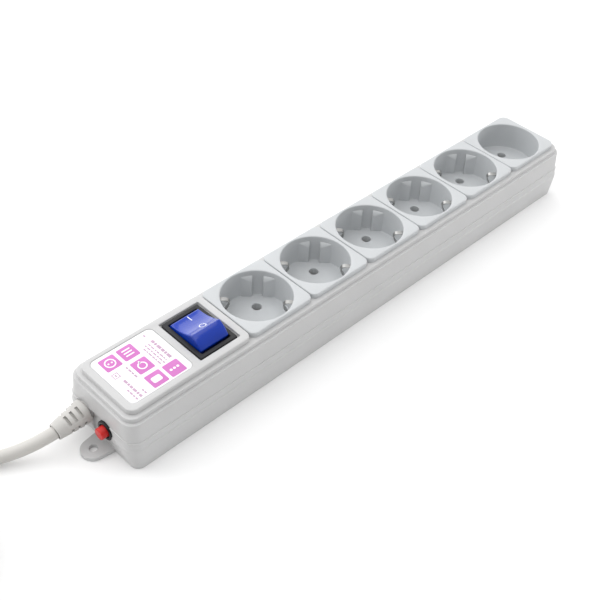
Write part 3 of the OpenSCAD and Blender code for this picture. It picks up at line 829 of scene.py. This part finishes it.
# Rows of dashes: middle of the row along X, its width, its ends along Y, dash lengths to repeat.
DASH_ROWS = (
    (-135.2, 1.7, 10.5, -5.6, (2.2, 1.4, 3.0)), (-138.0, 0.8, 9.6, -5.0, (1.8, 2.6, 1.2)),
    (-139.9, 0.8, 9.9, -6.0, (1.5, 2.4)), (-141.8, 0.8, 8.6, -5.8, (2.0, 1.2, 2.6)),
    (-156.0, 0.9, 4.3, -4.8, (1.6, 2.2)), (-162.0, 1.4, -2.0, -16.4, (2.6, 1.4, 1.9)),
    (-164.6, 0.9, -8.1, -16.2, (1.5, 2.1)), (-159.0, 0.9, -12.4, -16.0, (1.4, 1.6)),
    (-136.0, 1.0, 16.2, 14.6, (1.6,)),
)
DASH_GAP = 0.45
# Bars of the small square frame and the bar inside it: ends along X, ends along Y.
FRAME_BARS = (
    (-165, -161.4, 4.15, 4.6), (-165, -161.4, 1, 1.45), (-165, -164.55, 1.4, 4.2),
    (-161.85, -161.4, 1.4, 4.2), (-163.6, -162.8, 2.0, 3.6),
)


def printed(x0, x1, y0, y1, r, layer):
    """Flat printed bar or square."""
    return plate(x0, x1, y0, y1, r, *layer, 0.01)


def printed_ring(cx, cy, r, width):
    """Flat ring among the signs."""
    low, high = SIGN_LAYER
    inner, outer = r - width / 2, r + width / 2
    return moved(ring_lathe([(inner, low), (outer, low), (outer, high), (inner, high)], 40), cx, cy)


def printed_dot(cx, cy, r):
    """Flat dot among the signs."""
    return moved(lathe([(r, z) for z in SIGN_LAYER], 24), cx, cy)


def make_label():
    """Film in its recess, with plain squares, signs and dashes where a real label has its print."""
    x, y = LABEL_AT
    film_skin = plate(x - LABEL_HALF_X, x + LABEL_HALF_X, y - LABEL_HALF_Y, y + LABEL_HALF_Y, 3.1,
                      FILM_LOW_Z, FILM_Z, 0.08)
    film = make_object("label_film", film_skin)
    finish_piece(film, white_film, replaces=["label"])
    pink = [printed(px, px + BADGE, py, py + BADGE, 0.8, INK_LAYER) for px, py in BADGES]
    ink = make_object("label_print_pink", join_skins(pink))
    finish_piece(ink, pink_ink)
    bars = []
    for cx, width, start, end, dashes in DASH_ROWS:
        here = start
        lengths = itertools.cycle(dashes)
        while here - end > 0.5:
            stop = max(end, here - next(lengths))
            bars.append(printed(cx - width / 2, cx + width / 2, stop, here, 0.25, INK_LAYER))
            here = stop - DASH_GAP
    bars += [printed(*bar, 0.05, INK_LAYER) for bar in FRAME_BARS]
    text = make_object("label_print_grey", join_skins(bars))
    finish_piece(text, grey_ink)
    # A socket's face, three bars, a power ring and its stroke, a plain plate, and three dots.
    signs = [printed_ring(-160.2, 11.5, 2.7, 0.7)]
    signs += [printed_dot(dot_x, 11.5, 0.5) for dot_x in (-161.2, -159.2)]
    signs += [printed(-151.6, -146.6, 9.4 + 2 * k, 10.2 + 2 * k, 0.3, SIGN_LAYER) for k in range(3)]
    signs += [printed_ring(-149.2, -0.1, 2.2, 0.7), printed(-149.6, -148.8, 1.4, 3.4, 0.3, SIGN_LAYER)]
    signs += [printed(-152.2, -146.8, -13.6, -9.7, 1.0, SIGN_LAYER)]
    signs += [printed_dot(-140.6 + 2.1 * k, -11.8, 0.75) for k in range(3)]
    white = make_object("label_print_signs", join_skins(signs))
    finish_piece(white, white_film)


# ---- switch ----


def make_switch_frame():
    """Black bezel round the rocker, and the cup under it."""
    def square(half_x, half_y, r, z):
        return [(px + SWITCH_X, py, z) for px, py in outline(-half_x, half_x, half_y, r, r, arc=5, side=3)]

    top = TOP_Z - 0.3
    soft = fillet(0, top - 0.4, 0.4, top, 4)
    rings = [square(10.8, 15.3, 0.5, 15), square(10.8, 15.3, 0.5, BEZEL_Z)]
    rings += [square(12.2, 16, 0.6, BEZEL_Z + 0.02)]
    rings += [square(12.2 - d, 16 - d, 0.6, z) for d, z in soft]
    rings += [square(9.6 + d, 13.6 + d, 0.5, z) for d, z in reversed(soft)]
    rings += [square(9.6, 13.6, 0.5, BEZEL_Z)]
    rings += [square(9.6, 14.7, 0.5, z) for z in (BEZEL_Z - 0.4, 16.4)]
    bezel = make_object("switch_bezel", Skin().loft(rings))
    finish_piece(bezel, black_plastic, replaces=["switch_frame"])


ROCKER_Z = 30.5
ROCKER_R = 14.4
ROCKER_TILT = 16
ROCKER_SAG = 1.3
ROCKER_HALF = 9.3
# The rocker's round ends run from the skirt up to the ridge, in degrees from the pivot's vertical.
SKIRT = 75
RIDGE = 37
RIDGE_Y = ROCKER_R * math.sin(math.radians(RIDGE))
RIDGE_Z = ROCKER_R * math.cos(math.radians(RIDGE))


def rocker_matrix():
    """Matrix from the rocker's level frame, about its pivot, to its rest place in the part."""
    return Matrix.Translation((SWITCH_X, 0, ROCKER_Z)) @ Matrix.Rotation(math.radians(-ROCKER_TILT), 4, "X")


def dish_height(y):
    """Height of the rocker's hollow top above the pivot, level frame."""
    r = (RIDGE_Y ** 2 + ROCKER_SAG ** 2) / (2 * ROCKER_SAG)
    return RIDGE_Z - ROCKER_SAG + r - math.sqrt(r * r - y * y)


def make_rocker():
    """Blue cap with round ends and a hollow top. The bevel softens its sharp edges."""
    end = [(9, -3)]
    for k in range(13):
        a = math.radians(SKIRT - (SKIRT - RIDGE) * k / 12)
        end.append((ROCKER_R * math.sin(a), ROCKER_R * math.cos(a)))
    steps = 20
    top = [RIDGE_Y * (1 - 2 * k / steps) for k in range(1, steps)]
    shape = end + [(y, dish_height(y)) for y in top] + [(-y, z) for y, z in reversed(end)]
    rings = [[(x, y, z) for y, z in shape] for x in (-ROCKER_HALF, -6, -3, 0, 3, 6, ROCKER_HALF)]
    rocker = make_object("rocker_cap", Skin().loft(rings), rocker_matrix())
    mesh = bmesh.new()
    mesh.from_mesh(rocker.data)
    bmesh.ops.recalc_face_normals(mesh, faces=mesh.faces)
    sharp = [e for e in mesh.edges if len(e.link_faces) == 2 and e.calc_face_angle() > math.radians(24)]
    bmesh.ops.bevel(mesh, geom=sharp, offset=0.45 * MM, segments=4, profile=0.5, affect="EDGES",
                    clamp_overlap=True)
    mesh.to_mesh(rocker.data)
    mesh.free()
    finish_piece(rocker, blue_lens, body="rocker", replaces=["rocker"], angle=40)


def on_dish(points):
    """Lifts flat points onto the rocker's hollow top."""
    return [(x, y, dish_height(y) + 0.07) for x, y in points]


def make_rocker_marks():
    """The printed stroke for on and ring for off."""
    skin = Skin()
    stations = [4.0 + 3.9 * k / 6 for k in range(7)]
    stroke = [skin.ring(on_dish([(0.7, y), (1.25, y)])) for y in stations]
    for low, high in zip(stroke, stroke[1:]):
        skin.faces.append((low[0], low[1], high[1], high[0]))
    turns = [math.radians(a) for a in range(0, 360, 10)]

    def oval(half_x, half_y):
        return skin.ring(on_dish([(0.95 + half_x * math.cos(a), -4.9 + half_y * math.sin(a)) for a in turns]))

    skin.bridge(oval(1.9, 2.25), oval(1.4, 1.75))
    marks = make_object("rocker_print", skin, rocker_matrix())
    finish_piece(marks, white_ink, body="rocker")


# ---- plug and cord tie ----

PLUG_R = 18.5
PLUG_FACE = 55
PLUG_PIN_R = 2.4
PLUG_PIN_END = 74
TIE_ANGLE = 350


def make_plug():
    """Plug with a ribbed sleeve, a flared shoulder and a round body. Its earth strips are at the top
    and bottom, its pins side by side. Heights in its profile run from the cord to the pins."""
    low, high = box_mm("plug_body")
    at = (high[0], (low[1] + high[1]) / 2, (low[2] + high[2]) / 2)
    place = Matrix.Translation(at) @ Matrix.Rotation(math.radians(-90), 4, "Y")
    profile = [(4.2, 0), (4.9, 0.15), (5.1, 0.6)]
    for k in range(6):
        z = 2.2 + 3.1 * k
        r = 5.2 + 0.62 * k
        profile += [(r, z), (r - 0.7, z + 0.15), (r - 0.7, z + 1.1), (r + 0.15, z + 1.25)]
    profile += [(9.0, 21.6), (11.2, 22.2), (12.2, 23.2), (14.4, 28), (16.6, 33.5), (17.8, 36.6)]
    profile += [(18.35, 38.2), (PLUG_R, 40)]
    profile += [(PLUG_R - d, z) for d, z in fillet(0, PLUG_FACE - 1.1, 1.0, PLUG_FACE - 0.1, 5)]
    profile += [(16.6, PLUG_FACE), (16.5, PLUG_FACE - 0.5), (16.1, PLUG_FACE - 0.5)]
    profile += [(r, PLUG_FACE) for r in (16, 6, 1)]
    body = make_object("plug_shell", lathe(profile, 96), place)
    tools = []
    for side in (-1, 1):
        low_x, high_x = sorted((side * (PLUG_R - 3.7), side * (PLUG_R + 1.3)))
        tools.append(block((low_x, -3, 44), (high_x, 3, 64), place))
        low_y, high_y = sorted((side * (PLUG_R - 1.8), side * (PLUG_R + 1)))
        tools.append(block((-3, low_y, 40), (3, high_y, 60), place))
        for k in range(4):
            low_y, high_y = sorted((side * (PLUG_R - 2.6 - 1.53 * (3 - k)), side * (PLUG_R + 2)))
            tools.append(block((-5, low_y, 27.2 + 2.6 * k), (5, high_y, 28.3 + 2.6 * k), place))
    combine(body, tools)
    finish_piece(body, plug_pvc, replaces=["plug_body"])
    pin = [(PLUG_PIN_R, PLUG_FACE - 5)]
    pin += [(PLUG_PIN_R - d, z) for d, z in fillet(0, PLUG_PIN_END - 1.4, 1.4, PLUG_PIN_END, 6)]
    pin += [(0.5, PLUG_PIN_END)]
    pins = [moved(lathe(pin, 32), 0, side * PIN_AT) for side in (-1, 1)]
    pin_piece = make_object("plug_pin_pair", join_skins(pins), place)
    finish_piece(pin_piece, plated_pins, replaces=["plug_pins"])
    strips = []
    for side in (-1, 1):
        middle = side * (PLUG_R - 2.9)
        bow = [(middle + side * out, z) for out, z in (
            (0, 44.2), (0.5, 45.5), (0.75, 48), (0.75, 51), (0.4, 53.6), (-0.2, PLUG_FACE))]
        strips.append(strip_skin(bow if side < 0 else bow[::-1], 0.7, 2.5))
    strip_piece = make_object("plug_earth_contacts", join_skins(strips), place)
    finish_piece(strip_piece, plated_pins, replaces=["plug_earth_strips"], angle=40)
    return [body, pin_piece, strip_piece]


def make_tie():
    """Strap round the coil's three layers of cord."""
    inner, outer = TURN_IN / MM - CORD_D / 2, TURN_OUT / MM + CORD_D / 2
    top = 0.8 + 3 * CORD_D
    half = 4.5

    def loop(out, y):
        x0, x1, z0, z1 = inner - out, outer + out, max(0.0, 0.75 - out * 0.55), top + out
        r = min(2.2, 1 + out)
        corners = ((x1 - r, z1 - r, 0), (x0 + r, z1 - r, 90), (x0 + r, z0 + r, 180), (x1 - r, z0 + r, 270))
        points = []
        for cx, cz, start in corners:
            for k in range(7):
                a = math.radians(start + 15 * k)
                points.append((cx + r * math.cos(a), y, cz + r * math.sin(a)))
        return points

    skin = Skin()
    section = [(0.5, -half), (1.15, -half), (1.3, -half + 0.3), (1.3, half - 0.3), (1.15, half), (0.5, half)]
    made = [skin.ring(loop(out, y)) for out, y in section]
    for low, high in zip(made, made[1:] + made[:1]):
        skin.bridge(low, high)
    spin = Matrix.Translation(COIL_AT / MM) @ Matrix.Rotation(math.radians(TIE_ANGLE), 4, "Z")
    strap = make_object("tie_strap", skin, spin)
    finish_piece(strap, black_plastic, replaces=["cord_tie"])
    return strap


# ---- case screws ----


def make_screws():
    """Cross-head screws in the counterbores under the case."""
    head = [(0.3, 2.95), (1.0, 2.95), (2.2, 3.1), (2.9, 3.7), (3.0, 4.6), (2.9, 4.9), (1.45, 5.0), (1.45, 16)]
    slot_long, slot_half = 1.7, 0.32
    for index, x in enumerate(SCREW_X):
        for side, letter in ((-1, "a"), (1, "b")):
            place = Matrix.Translation((x, side * SCREW_Y, 0))
            screw = make_object(f"case_screw_{index}_{letter}", lathe(head, 40), place)
            cross = [block((-half_x, -half_y, 2), (half_x, half_y, 4.1), place)
                     for half_x, half_y in ((slot_long, slot_half), (slot_half, slot_long))]
            combine(screw, cross)
            first = index == 0 and side < 0
            finish_piece(screw, screw_steel, replaces=["case_screws"] if first else ())


# ---- breaker and strain relief ----

COLLAR_R = 5.5
COLLAR_BORE_R = 3.85
BUTTON_R = 3.25
BUTTON_OUT = 5.35


def make_breaker():
    """Black collar in the cord end and the red button that slides in it."""
    at = (COLLAR_X + 0.3, BREAKER_Y, BREAKER_Z)
    collar = [(COLLAR_BORE_R, -3), (COLLAR_R, -3)]
    collar += [(COLLAR_R - d, z) for d, z in fillet(0, 2.1, 0.45, 2.5, 4)]
    collar += [(4.3, 2.5), (3.95, 2.35), (COLLAR_BORE_R, 2.1)]
    ring = make_object("breaker_collar_ring", ring_lathe(collar, 64), along((-1, 0, 0), at))
    finish_piece(ring, gloss_black, replaces=["breaker_collar"])
    rim = [(BUTTON_R - d, z) for d, z in fillet(0, BUTTON_OUT - 0.45, 0.4, BUTTON_OUT, 5)]
    head = [(BUTTON_R, -10)] + rim + [(2.0, 5.42), (0.4, 5.45)]
    button_at = (COLLAR_X - 0.2, BREAKER_Y, BREAKER_Z)
    button = make_object("reset_button_cap", lathe(head, 64), along((-1, 0, 0), button_at))
    finish_piece(button, red_plastic, body="reset_button", replaces=["reset_button"], angle=40)


def make_relief():
    """Tapered strain relief with three rows of slots, leaning down towards the floor."""
    turn = math.radians(RELIEF_DROP)
    out = (-math.cos(turn), 0, -math.sin(turn))
    big, small, length = 6.7, 4.7, 15.6
    profile = [(5.4, -8), (5.4, -2.7), (6.6, -2.65), (6.78, -2.4)]
    for k in range(10):
        t = k / 9
        profile.append((big + (small - big) * t, (length - 0.5) * t))
    profile += [(small - 0.06, length - 0.2), (small - 0.3, length), (4.05, length)]
    profile += [(3.95, length - 0.9), (3.5, length - 0.95)]
    relief = make_object("strain_relief_boot", lathe(profile, 72), along(out, RELIEF_AT))
    tools = []
    for k in range(3):
        at = 0.7 + 3.5 * k
        r = big + (small - big) * at / length
        for side in range(4):
            a = math.radians(90 * side + RELIEF_SPIN)
            spin = along(out, RELIEF_AT) @ Matrix.Rotation(a, 4, "Z")
            tools.append(block((r - 2.1, -r * 0.5, at), (r + 2, r * 0.5, at + 1.45), spin))
    combine(relief, tools)
    finish_piece(relief, relief_pvc, replaces=["strain_relief"])
    return relief


make_bottom_case()
make_top_cover()
for socket in range(1, SOCKETS + 1):
    make_insert(socket)
    if socket < SOCKETS:
        make_earth_spring(socket)
make_label()
make_switch_frame()
make_rocker()
make_rocker_marks()
make_breaker()
relief = make_relief()
plug = make_plug()
tie = make_tie()
make_screws()

# ---- paint the CAD nodes that show as they are ----

PAINT = {
    "shell_plastic": shell_plastic, "black_plastic": black_plastic, "blue_lens": blue_lens,
    "red_plastic": red_plastic, "label_film": white_film, "cord_pvc": relief_pvc, "brass": brass,
    "spring_metal": spring_metal, "screw_steel": screw_steel, "plated_pins": plated_pins,
    "lamp_glass": lamp_glass, "wire_brown": brown_wire, "wire_blue": blue_wire,
    "wire_green_yellow": earth_wire_skin,
}
for part in frame["record"]["subparts"]:
    node = frame["nodes"][part["node"]]
    node.data.materials.clear()
    node.data.materials.append(PAINT[part["material_slot"]])

# ---- floor and light ----


def make_floor():
    """Pale square floor."""
    half = 4000
    skin = Skin()
    skin.cap(skin.ring([(-half, -half, 0), (half, -half, 0), (half, half, 0), (-half, half, 0)]))
    floor = make_object("floor", skin)
    paint = plastic("floor_paint", (0.90, 0.90, 0.90), rough=0.6, vary=0.005, grain=0.0)
    floor.data.materials.append(paint)


def make_light(name, at, aim, size, watts):
    """Round soft light at a place in metres, turned to its aim."""
    data = bpy.data.lights.new(name, "AREA")
    data.shape = "DISK"
    data.size = size
    data.energy = watts
    lamp = bpy.data.objects.new(name, data)
    bpy.context.scene.collection.objects.link(lamp)
    lamp.location = at
    lamp.rotation_mode = "QUATERNION"
    lamp.rotation_quaternion = (Vector(aim) - Vector(at)).to_track_quat("-Z", "Y")


def make_world(bright, dim, towards):
    """White surroundings that fade from one side of the room to the other."""
    world = bpy.data.worlds.new("studio")
    bpy.context.scene.world = world
    world.use_nodes = True
    nodes, links = world.node_tree.nodes, world.node_tree.links
    back = next(n for n in nodes if n.type == "BACKGROUND")
    place = nodes.new("ShaderNodeTexCoord")
    side = nodes.new("ShaderNodeVectorMath")
    side.operation = "DOT_PRODUCT"
    side.inputs[1].default_value = towards
    links.new(place.outputs["Generated"], side.inputs[0])
    fall = nodes.new("ShaderNodeMapRange")
    fall.inputs["From Min"].default_value = -1
    fall.inputs["From Max"].default_value = 1
    fall.inputs["To Min"].default_value = bright
    fall.inputs["To Max"].default_value = dim
    links.new(side.outputs["Value"], fall.inputs["Value"])
    links.new(fall.outputs["Result"], back.inputs["Strength"])
    back.inputs["Color"].default_value = (1, 1, 1, 1)


make_floor()
make_world(1.04, 0.28, (-0.68, -0.73, 0.0))
make_light("overhead", (-0.35, 0.15, 1.5), (0, 0, 0), 3.0, 25)
make_light("back", (0.52, 0.93, 0.42), (-0.1, 0, 0.03), 0.8, 2.0)
make_light("right", (0.85, -0.52, 0.30), (0.1, 0, 0.02), 0.5, 2.3)
make_light("left", (-0.75, 0.85, 0.55), (0, 0, 0.02), 0.7, 3.4)
bpy.context.scene.view_settings.view_transform = "Standard"
